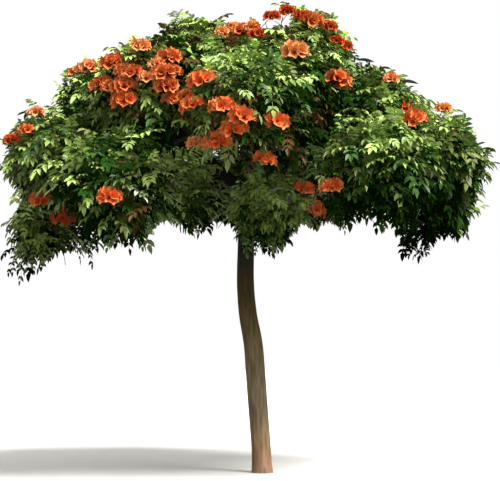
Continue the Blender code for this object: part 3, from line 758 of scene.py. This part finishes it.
# Bark.
def bark_relief(random, furrows, depth, lumps):
    """Fine upright furrows that wander, and broad lumps, as shares of the radius."""
    waves = []
    for _ in range(FURROW_WAVES):
        count, rise = random.integers(furrows // 2, furrows * 2), random.uniform(*FURROW_RISES)
        waves.append((count, rise, random.uniform(*ANY_TURN), random.uniform(*FURROW_SHARES)))
    swells = []
    for _ in range(LUMP_WAVES):
        count, rise = random.integers(*LUMP_COUNTS), random.uniform(*LUMP_RISES)
        swells.append((count, rise, random.uniform(*ANY_TURN)))

    def relief(turn, path):
        fine = 0
        for count, rise, phase, share in waves:
            angle = count * turn + rise * path + phase + np.sin(path * FURROW_WANDER + phase)
            fine = fine + share * (FURROW_CREST - np.abs(np.sin(angle / 2)))
        broad = sum(np.sin(count * turn + rise * path + phase) for count, rise, phase in swells)
        return depth * fine / len(waves) * 2 + lumps * broad / len(swells)

    return relief


def build_wood(limbs, masses, bark, twig_bark):
    """The trunk, the boughs with the stems that carry on from them, and the twigs."""
    random = np.random.default_rng(SEED + 1)
    rows = smooth_stations(TRUNK, TRUNK_RINGS)
    points, faces = tube(rows[:, :3], rows[:, 3], TRUNK_SIDES, bark_relief(random, *TRUNK_RELIEF))
    points[:TRUNK_SIDES, 2] = 0.0
    points[:, 2] = np.maximum(points[:, 2], 0.0)
    trunk = mesh_object("trunk_bark", points, faces, [bark])
    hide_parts("trunk")
    parts, places = [], np.linspace(0, 1, BOUGH_RINGS)
    for limb in limbs[1:]:
        centre = smooth_stations(limb.points, BOUGH_RINGS)
        radii = np.interp(places, np.linspace(0, 1, len(limb.radii)), limb.radii)
        outside = np.maximum(0, path_along(centre) - limb.parent.radii[limb.fork])
        collar = 1 + COLLAR_SWELL * np.exp(-outside / COLLAR_LENGTH)
        parts.append(tube(centre, radii * collar, BOUGH_SIDES, bark_relief(random, *BOUGH_RELIEF)))
    boughs = mesh_object("bough_bark", *joined(parts), [bark])
    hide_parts(*[limb.name for limb in limbs[1:]])
    parts = []
    for mass in masses:
        tip_radius = BOUGH_TIP_RADIUS / len(mass.twigs) ** (1 / TWIG_POWER)
        for twig in mass.twigs:
            radii = twig_radii(twig, tip_radius)
            sides = TWIG_SIDES if radii[0] > THIN_TWIG else THIN_TWIG_SIDES
            parts.append(tube(twig.points, radii, STEM_SIDES if twig.parent is None else sides))
    twigs = mesh_object("twig_bark", *joined(parts), [twig_bark])
    return twigs


# Leaves.
def leaflet_table():
    """Each leaflet's place along its leaf, side, angle from it and length as a share of the leaf's."""
    places = np.linspace(*LEAFLET_PLACES, LEAF_PAIRS)
    angles = np.radians(np.linspace(*LEAFLET_ANGLES, LEAF_PAIRS))
    pairs = zip(places, angles, LEAFLET_LENGTHS)
    rows = [(place, side, angle, length) for place, angle, length in pairs for side in (1, -1)]
    return np.array(rows + [(1.0, 0, 0.0, END_LEAFLET)])


def leaf_meshes(base, heading, side, length, droop, random):
    """The points and triangles of many pinnate leaves at once, leaf by leaf."""
    table = leaflet_table()
    place, sign, angle, share = (table[:, i][None, :, None] for i in range(4))
    count, leaflets = len(base), len(table)
    base, heading, side = base[:, None], heading[:, None], side[:, None]
    length, droop = length[:, None, None], droop[:, None, None]
    along = unit(heading - 2 * droop * place * UP)
    root = base + length * (place * heading - droop * place**2 * UP)
    above = unit(np.cross(side, along))
    hang = random.uniform(*LEAFLET_HANGS, (count, leaflets, 1))
    way = np.cos(angle) * along + sign * np.sin(angle) * side - hang * UP
    way = unit(way + random.normal(0, LEAFLET_SCATTER, (count, leaflets, 3)))
    face = unit(above - np.sum(above * way, axis=2, keepdims=True) * way)
    across = np.cross(way, face)
    size = length * share * random.uniform(*LEAFLET_SIZES, (count, leaflets, 1))
    wide, fold = size * LEAFLET_WIDTH, size * LEAFLET_FOLD

    def edge(spot, sideways, raised, hand):
        return root + way * size * spot + across * wide * sideways * hand + face * fold * raised

    near, far = LEAFLET_EDGE
    tip = root + way * size - UP * size * LEAFLET_TIP_DROOP
    corners = [root, edge(*near, 1), edge(*far, 1), tip, edge(*far, -1), edge(*near, -1)]
    blades = np.stack(corners, axis=2).reshape(count, leaflets * 6, 3)
    fan = np.array([(0, 1, 2), (0, 2, 3), (0, 3, 4), (0, 4, 5)])
    blade_faces = (fan[None] + 6 * np.arange(leaflets)[:, None, None]).reshape(-1, 3)
    spots = np.array(STALK_PLACES)[None, :, None]
    middle = base + length * (spots * heading - droop * spots**2 * UP)
    edges = [middle - side * STALK_WIDTH / 2, middle + side * STALK_WIDTH / 2]
    stalk = np.stack(edges, axis=2).reshape(count, 8, 3)
    stalk_faces = [(2 * i, 2 * i + 1, 2 * i + 3) for i in range(3)]
    stalk_faces += [(2 * i, 2 * i + 3, 2 * i + 2) for i in range(3)]
    points = np.concatenate([blades, stalk], axis=1)
    faces = np.concatenate([blade_faces, np.array(stalk_faces) + 6 * leaflets])
    return points, faces


def spray_tint(mass, place, reach, random):
    """The number of the tint that a spray takes: one by chance, moved by painted light and shade from where
    it is and how far it reaches.
    """
    shares = np.array([share for _, share, _ in TINTS.values()])
    level = np.searchsorted(np.cumsum(shares) / shares.sum(), random.uniform())
    level += random.uniform(-TINT_SCATTER, TINT_SCATTER)
    # Painted light and shade by height, reach and place in the mass.
    level += HIGHER_LIGHTER * (place[2] - MIDDLE_HEIGHT) + FURTHER_LIGHTER * (reach - MIDDLE_REACH)
    above = (place[2] - mass.centre[2]) / mass.radius
    level += OUTER_LIGHTER * (mass.depth(place) - MIDDLE_DEPTH)
    level += (UPPER_LIGHTER if above > 0 else LOWER_DARKER) * above
    if place[1] < FRONT_OF_PATCHES:
        seen = as_seen(place[None])[0]
        for *middle, radius, move in PATCHES:
            away = math.dist(seen, middle) / radius
            level += move * max(0.0, 1 - away**2 / 2)
        level -= FAR_SIDE_DARKER * max(0.0, (place[1] - mass.centre[1]) / mass.radius)
    else:
        level -= BACK_DARKER
    return int(np.clip(round(level), 0, LIGHTEST))


def as_seen(points):
    """Where the eye sees points on the upright plane through the trunk: (to +X, height)."""
    ways = points - EYE
    return (EYE + ways * (-EYE[1] / ways[:, 1:2]))[:, [0, 2]]


def bare(points):
    """True where the eye sees any of the points in one of the places without leaves."""
    seen = as_seen(points)
    return any(norm(seen - place, axis=1).min() < radius for *place, radius in BARE)


def odd_tint(point, random):
    """The number of an odd leaf's tint, a pale painted highlight speck or young and bronze, or None."""
    seen, chance = as_seen(point[None])[0], random.uniform()
    for name, (share, places) in ODD_LEAVES.items():
        if chance < share and any(math.dist(seen, place) < radius for *place, radius in places):
            return list(TINTS).index(name)
    return None


def hides_a_head(points, heads, heads_seen):
    """True where any of the points is just in front of a flower head, as the eye sees it."""
    near = norm(as_seen(points)[:, None] - heads_seen, axis=2) < HEAD_WINDOW
    return (near & (points[:, 1:2] < heads[:, 1])).any()


def within_reach(mass, masses, base, heading, length, droop, limit, less_below):
    """The share of its length that a leaf keeps to stay in reach, which is further between two masses."""
    near, far = VALLEY_DEPTHS
    for share in LEAF_SHARES:
        end = base + (heading - droop * UP) * length * share
        depth = mass.depth(end)
        allowed = limit - less_below * max(0.0, (mass.centre[2] - end[2]) / mass.radius)
        if allowed <= depth < allowed + VALLEY_REACH:
            other = min(one.depth(end) for one in masses if one is not mass)
            allowed += VALLEY_REACH * np.clip((far - other) / (far - near), 0, 1)
        if depth < allowed:
            return share
    return 0.0


def spray_rows(mass, masses, twig, in_the_way, random, oddities):
    """Rows for the leaves at a twig's tip, pair by pair, with the columns that grow_leaves has."""
    rows = []
    tip, way = twig.points[-1], unit(twig.points[-1] - twig.points[-2])
    out = unit(unit(tip - mass.centre) + SPRAY_ALONG_TWIG * way + SPRAY_RISE * UP)
    side = unit(np.cross(out, ACROSS_SPRAY))
    over = np.cross(side, out)
    turn = random.uniform(0, 2 * math.pi)
    reach = random.uniform(*LEAF_REACHES)
    tint = spray_tint(mass, tip, reach, random)
    reach += OUTER_SPRAY * (mass.depth(tip) > FINE_DEPTHS[1])
    less_below = random.uniform(*LOWER_REACH)
    hanging = tip[2] < mass.centre[2] - HANGING_BELOW * mass.radius and random.uniform() < HANGING_SHARE
    if twig.in_tuft:
        hanging, reach = tip[2] < mass.centre[2], reach + TUFT_REACH
    # Hanging sprays are painted a tint darker, as shade.
    if hanging:
        reach, less_below, tint = reach + HANGING_REACH, 0.0, max(0, tint - 1)
    for i in range(LEAVES_ON_TIP):
        turn += math.pi if i % 2 else math.pi / 2 + random.uniform(-PAIR_TURN, PAIR_TURN)
        pair = i // 2
        spread = math.radians(PAIR_SPREAD[0] + PAIR_SPREAD[1] * pair)
        spread += random.uniform(-PAIR_SCATTER, PAIR_SCATTER)
        sideways = toward(turn, side, over)
        heading = unit(toward(spread, out, sideways))
        base = tip - way * PAIR_SPACING * pair
        droop = random.uniform(*LEAF_DROOPS) + HANGING_DROOP * hanging
        length = random.uniform(*LEAF_LENGTHS) * (1.0 if pair else INNER_LEAF)
        length *= TUFT_LEAF if twig.in_tuft else 1.0
        limit = reach + random.uniform(-REACH_SCATTER, REACH_SCATTER)
        length *= within_reach(mass, masses, base, heading, length, droop, limit, less_below)
        along = np.array([base + (heading - droop * t * UP) * length * t for t in LEAF_CHECKS])
        if length == 0.0 or in_the_way(along):
            continue
        level = np.cross(heading, UP)
        if norm(level) < UPRIGHT_LEAF:
            level = sideways
        level = unit(level)
        tilt = toward(random.normal(0, LEAF_ROLL), level, np.cross(level, heading))
        # Leaves heading up are painted lighter, as if lit from above.
        leaf_tint = round(tint + TOP_LEAVES_LIGHTER * heading[2] + random.uniform(*LEAF_TINTS))
        odd = odd_tint(along[1], oddities) if base[1] < FRONT_OF_PATCHES else None
        leaf_tint = min(max(leaf_tint, 0), LIGHTEST) if odd is None else odd
        rows.append((*base, *heading, *tilt, length, droop, leaf_tint))
    return rows


def grow_leaves(masses, borne):
    """Rows for every leaf, with columns for its base, heading, side, length, droop and tint."""
    rows = []
    kept_clear = np.array([place + way * step for place, way in borne for step in CLEAR_STEPS])
    heads = np.array([place for place, _ in borne if place[1] < FRONT_OF_PATCHES])
    heads_seen = as_seen(heads)

    def in_the_way(along):
        crowded = norm(kept_clear[:, None] - along, axis=2).min() < HEAD_ROOM
        return crowded or bare(along) or hides_a_head(along, heads, heads_seen)

    for mass in masses:
        random, oddities = seeded(mass, "rosettes"), seeded(mass, "odd leaves")
        for twig in mass.twigs[1:]:
            if twig.leafy:
                rows += spray_rows(mass, masses, twig, in_the_way, random, oddities)
    return np.array(rows)


# Flower heads and pods.
def flower(length, random):
    """An open bell with ruffled lobes, along +Z: its points, quads and the strip that each quad is in."""
    turns = ring_turns(FLOWER_SIDES)
    lobe = np.cos(LOBES * turns)
    ruffle = random.uniform(-RUFFLE, RUFFLE, FLOWER_SIDES)
    points, strips = [], len(FLOWER_RINGS) - 1
    for i, (reach, lobe_reach, height, lobe_height) in enumerate(FLOWER_RINGS):
        reach = reach + lobe_reach * lobe + ruffle * (i == strips)
        height = height + lobe_height * lobe + ruffle[::-1] * (i == strips)
        points.append(np.stack([np.cos(turns) * reach, np.sin(turns) * reach, height], axis=1) * length)
    quads = ring_quads(len(FLOWER_RINGS), FLOWER_SIDES)
    return np.concatenate(points), quads, np.repeat(np.arange(strips), FLOWER_SIDES)


def bud(length, random):
    """A curved, pointed bud along +Z: its points and quads."""
    turns, bow = ring_turns(BUD_SIDES), random.uniform(*BUD_BOWS)
    points = []
    for wide, high in BUD_RINGS:
        ring = [np.cos(turns) * wide + bow * high**2, np.sin(turns) * wide, np.full(BUD_SIDES, high)]
        points.append(np.stack(ring, axis=1) * length)
    return np.concatenate(points), ring_quads(len(BUD_RINGS), BUD_SIDES)


def turned(points, way, spin):
    """Points made along +Z, spun about it and turned to lie along way."""
    side = unit(np.cross(way, ACROSS_FLOWER))
    first = toward(spin, side, np.cross(way, side))
    return points @ np.stack([first, np.cross(way, first), way])


def flower_head(middle, out, kind, random):
    """A head: whorls of open flowers round a few buds. Points, quads and each quad's petal colour."""
    size = random.uniform(*HEAD_SIZES) if kind in FULL_SIZED else SMALL_SIZE
    if kind == "dark":
        colours = DARK_FLOWER
    # Heads low in the crown's shade take the brighter colours of painted light.
    elif kind == "full" and middle[2] < LOW_HEADS:
        colours = SHADED_HEAD_PAINTED_LIGHT
    else:
        paler = random.uniform() < PALER_SHARE
        paler = kind in ("pale", "faded") or paler and kind != "bright"
        colours = PALE_FLOWER if paler else LIT_FLOWER
    strip_slots = np.array([PETAL_NAMES.index(name) for name in colours])
    parts, slots = [], []
    side = unit(np.cross(out, ACROSS_SPRAY))
    over = np.cross(side, out)
    for count, lean, start in FLOWER_WHORLS:
        first = random.uniform(0, 2 * math.pi)
        for i in range(count):
            turn = first + 2 * math.pi * i / count + random.uniform(-WHORL_SCATTER, WHORL_SCATTER)
            angle = math.radians(lean + random.uniform(-LEAN_SCATTER, LEAN_SCATTER))
            way = unit(toward(angle, out, toward(turn, side, over)) + FLOWER_LIFT * UP)
            points, quads, strips = flower(size * FLOWER_LENGTH * random.uniform(*FLOWER_SIZES), random)
            points = turned(points, way, random.uniform(*ANY_TURN)) + middle + way * start * size
            parts.append((points, quads))
            slots.append(strip_slots[strips])
    for i in range(BUDS):
        angle = math.radians(BUD_LEANS[0] + BUD_LEANS[1] * math.sqrt(i / BUDS))
        way = toward(angle, out, toward(BUD_TURN * i, side, over))
        points, quads = bud(size * random.uniform(*BUD_LENGTHS), random)
        points = turned(points, unit(way), random.uniform(*ANY_TURN)) + middle + way * BUD_START * size
        parts.append((points, quads))
        slots.append(np.full(len(quads), PETAL_NAMES.index("flower_bud")))
    return *joined(parts), np.concatenate(slots)


def pod(base):
    """A slender woody pod, pointed at both ends: its points and quads."""
    t = np.linspace(0, 1, POD_STATIONS)
    centre = base + np.outer(t * POD_LENGTH, POD_WAY) + np.outer(np.sin(t * math.pi) * POD_BOW, UP)
    tip, fullest = POD_RADII
    radii = tip + fullest * np.sin(np.clip(t * POD_TIP, 0, 1) * math.pi) ** POD_FULLNESS

    def relief(turn, path):
        return POD_RIB_DEPTH * np.sin(POD_RIBS * turn) - POD_FLATNESS * np.abs(np.sin(turn))

    return tube(centre, radii, POD_SIDES, relief)


# Materials.
def add_node(tree, kind, **values):
    """A new shader node, with the inputs of these names set."""
    made = tree.nodes.new(f"ShaderNode{kind}")
    for name, value in values.items():
        made.inputs[name.replace("_", " ")].default_value = value
    return made


def add_ramp(tree, stops):
    """A colour ramp through stops, each a place and a colour."""
    made = add_node(tree, "ValToRGB")
    elements = made.color_ramp.elements
    for place, _ in stops[1:-1]:
        elements.new(place)
    for element, (place, colour) in zip(elements, stops):
        element.position, element.color = place, (*colour, 1)
    return made


def link(tree, *rows):
    """Joins an output of one node to an input of another, for each row of node, output, node, input."""
    for source, output, target, given in rows:
        tree.links.new(source.outputs[output], target.inputs[given])


def new_material(name, colour, roughness, bump=0.0, scale=60.0, vary=0.15, stretch=(1, 1, 1), gloss=0.2):
    """A Principled material with a light variation of its colour and a fine bump."""
    material = bpy.data.materials.new(name)
    material.use_nodes = True
    tree = material.node_tree
    shader = tree.nodes["Principled BSDF"]
    shader.inputs["Roughness"].default_value = roughness
    shader.inputs["Specular IOR Level"].default_value = gloss
    place, mapping = add_node(tree, "TexCoord"), add_node(tree, "Mapping", Scale=stretch)
    noise = add_node(tree, "TexNoise", Scale=scale, Detail=NOISE_DETAIL)
    darker, lighter = [c * (1 - vary) for c in colour], [min(1, c * (1 + vary)) for c in colour]
    ramp = add_ramp(tree, list(zip(NOISE_SPAN, (darker, lighter))))
    link(tree, (place, "Object", mapping, "Vector"), (mapping, "Vector", noise, "Vector"))
    link(tree, (noise, "Fac", ramp, "Fac"), (ramp, "Color", shader, "Base Color"))
    if bump:
        relief = add_node(tree, "Bump", Strength=bump, Distance=BUMP_HEIGHT)
        link(tree, (noise, "Fac", relief, "Height"), (relief, "Normal", shader, "Normal"))
    return material


def bark_material():
    """Bark: soft upright streaks, pink-brown at the foot, ochre and grey above, olive and then dark aloft,
    with painted light low down and painted shade under the crown.
    """
    material = new_material("bark", BARK_STREAKS, 0.9, 0.8, vary=0.42, scale=20.0, stretch=(1, 1, 0.14))
    tree = material.node_tree
    place, streaks = tree.nodes["Texture Coordinate"], tree.nodes["Color Ramp"]
    split, height = add_node(tree, "SeparateXYZ"), add_node(tree, "MapRange", From_Max=BARK_TOP)
    ramp = add_ramp(tree, [(spot / BARK_TOP, colour) for spot, colour in BARK_COLOURS_LIGHT_AND_SHADE])
    blend = add_node(tree, "Mix", Factor=1.0)
    blend.data_type, blend.blend_type = "RGBA", "MULTIPLY"
    link(tree, (place, "Object", split, "Vector"), (split, "Z", height, "Value"))
    link(tree, (height, "Result", ramp, "Fac"), (ramp, "Color", blend, 7), (streaks, "Color", blend, 6))
    link(tree, (blend, 2, tree.nodes["Principled BSDF"], "Base Color"))
    return material


# The tree.
def recast(place):
    """The kind of a head of the source, by where the eye sees it."""
    seen = as_seen(place[None])[0]
    for kind, places in RECAST.items():
        if any(math.dist(seen, one) < SAME_HEAD for one in places):
            return kind
    return "full"


def grow_crown(masses):
    """Twigs for every mass. The flower heads and pods that they bear, and all of these with their ways."""
    borne = {"full": head_places(masses)}
    for kind, places in {"pod": PODS, **SMALLER_HEADS, "tuft": TUFTS}.items():
        borne[kind] = {mass.name: [] for mass in masses}
        for seen in places:
            mass, place = on_crown(seen, masses)
            borne[kind][mass.name].append(place)
    tufts = borne.pop("tuft")
    heads, pods, bared = [], [], []
    for mass in masses:
        whorls = max(FEWEST_TWIGS, TWIGS_IN_MASS - len(borne["full"][mass.name]) // HEADS_FOR_A_TWIG)
        mine = [(place, kind) for kind, group in borne.items() for place in group[mass.name]]
        ends = [*tip_targets(mass, whorls), *[place for place, _ in mine]]
        finer = tip_targets(mass, TIPS_IN_MASS - whorls, ends, "finer", FINE_INWARD_LIMIT, FINE_DEPTHS)
        mass.twigs = grow_twigs(mass, [*ends, *finer, *tufts[mass.name]])
        for i, twig in enumerate(mass.twigs[1:]):
            twig.leafy = not whorls <= i < len(ends)
            twig.in_tuft = i >= len(ends) + len(finer)
        for (place, kind), twig in zip(mine, mass.twigs[1 + whorls :]):
            if kind == "pod":
                pods.append(place)
                bared.append((place, POD_WAY))
                continue
            outward = unit(place - mass.centre) + HEAD_ALONG_TWIG * unit(twig.points[-1] - twig.points[0])
            bared.append((place, unit(outward)))
            kind = recast(place) if kind == "full" else kind
            heads.append((place, unit(outward + HEAD_UPRIGHT * UP), kind))
    return heads, pods, bared


def build_leaves(rows, foliage):
    """The leaves of each tint, in pieces within the limit of triangles."""
    random = np.random.default_rng(SEED + 2)
    for number, (name, (colour, _, gloss)) in enumerate(TINTS.items()):
        mine = rows[rows[:, -1] == number]
        base, heading, side, (length, droop) = mine[:, 0:3], mine[:, 3:6], mine[:, 6:9], mine[:, 9:11].T
        material = new_material(f"leaf_{name}", colour, LEAF_ROUGHNESS, vary=0.25, scale=9.0, gloss=gloss)
        points, faces = leaf_meshes(base, heading, side, length, droop, random)
        batch = MOST_TRIANGLES // len(faces)
        for i in range(0, len(mine), batch):
            some = points[i : i + batch]
            corners = faces[None] + (np.arange(len(some)) * some.shape[1])[:, None, None]
            mesh = some.reshape(-1, 3), corners.reshape(-1, 3)
            piece = mesh_object(f"leaves_{name}_{i // batch + 1}", *mesh, [material], smooth=False)
            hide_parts(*foliage)


def build_blossom_and_pods(heads, pods, foliage):
    """The flower heads and the pods."""
    petals = [new_material(name, colour, 0.5, vary=0.15, scale=40.0) for name, colour in PETALS.items()]
    random = np.random.default_rng(SEED + 3)
    parts, slots = [], []
    for place, out, kind in heads:
        points, quads, strips = flower_head(place + out * HEAD_RISE, out, kind, random)
        parts.append((points, quads))
        slots.append(strips)
    blossom = mesh_object("blossom", *joined(parts), petals, slots=np.concatenate(slots))
    pod_bark = new_material("pod_bark", POD_COLOUR, 0.7, bump=0.3, vary=0.3)
    seedpods = mesh_object("seedpods", *joined([pod(place) for place in pods]), [pod_bark])
    for piece in (blossom, seedpods):
        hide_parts(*foliage)


def build_tree():
    """The whole tree, grown again by the source's rule with finer twigs, and dressed."""
    masses = crown_masses()
    limbs = grow_boughs(masses)
    heads, pods, bared = grow_crown(masses)
    foliage = [f"{mass.name}_foliage" for mass in masses]
    twig_bark = new_material("twig_bark", TWIG_COLOUR, 0.8, bump=0.3, vary=0.25)
    twigs = build_wood(limbs, masses, bark_material(), twig_bark)
    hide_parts(*foliage)
    build_leaves(grow_leaves(masses, bared), foliage)
    build_blossom_and_pods(heads, pods, foliage)


# Setting.
def add_facing(name, data, way, place=(0, 0, 0), axis="Z"):
    """A light or camera at a place, with an axis of it along way."""
    made = add_object(name, data)
    made.location = place
    made.rotation_euler = Vector(way).to_track_quat(axis, "Y").to_euler()
    return made


def build_floor():
    """A wide pale floor."""
    far = FLOOR_REACH
    corners = np.array([(-far, -far, 0), (far, -far, 0), (far, far, 0), (-far, far, 0)], float)
    material = new_material("pale_floor", FLOOR_COLOUR, 0.9, vary=0.01, scale=2.0)
    floor = mesh_object("floor", corners, np.array([[0, 1, 2, 3]]), [material], smooth=False)
    floor.visible_diffuse = False


def build_sky():
    """Daylight from a sky that is white to the camera itself."""
    world = bpy.data.worlds.new("daylight")
    bpy.context.scene.world = world
    world.use_nodes = True
    tree = world.node_tree
    sky = tree.nodes["Background"]
    sky.inputs["Strength"].default_value = SKY_STRENGTH
    place, split = add_node(tree, "TexCoord"), add_node(tree, "SeparateXYZ")
    height, ramp = add_node(tree, "MapRange", From_Min=-1.0), add_ramp(tree, SKY)
    link(tree, (place, "Generated", split, "Vector"), (split, "Z", height, "Value"))
    link(tree, (height, "Result", ramp, "Fac"), (ramp, "Color", sky, "Color"))
    rays, white = add_node(tree, "LightPath"), add_node(tree, "Background", Color=WHITE)
    blend = add_node(tree, "MixShader")
    link(tree, (rays, "Is Camera Ray", blend, "Fac"), (sky, "Background", blend, 1))
    link(tree, (white, "Background", blend, 2), (blend, "Shader", tree.nodes["World Output"], "Surface"))


def build_lights_and_camera():
    """A soft sun, a fill light from the front and the photo's camera."""
    sun = bpy.data.lights.new("sun", "SUN")
    sun.energy, sun.angle, sun.color = SUN_STRENGTH, math.radians(SUN_SOFTNESS), SUN_COLOUR
    add_facing("sun", sun, SUN_FROM)
    fill = bpy.data.lights.new("fill", "AREA")
    fill.energy, fill.size = FILL_STRENGTH, FILL_SIZE
    add_facing("fill", fill, Vector(FILL_FROM) - Vector(TARGET), FILL_FROM)
    camera = bpy.data.cameras.new("camera")
    camera.lens, camera.sensor_width = LENS, SENSOR
    bpy.context.scene.camera = add_facing("camera", camera, Vector(TARGET) - Vector(EYE), EYE, "-Z")
    bpy.context.scene.view_settings.view_transform = "Standard"


build_tree()
build_floor()
build_sky()
build_lights_and_camera()
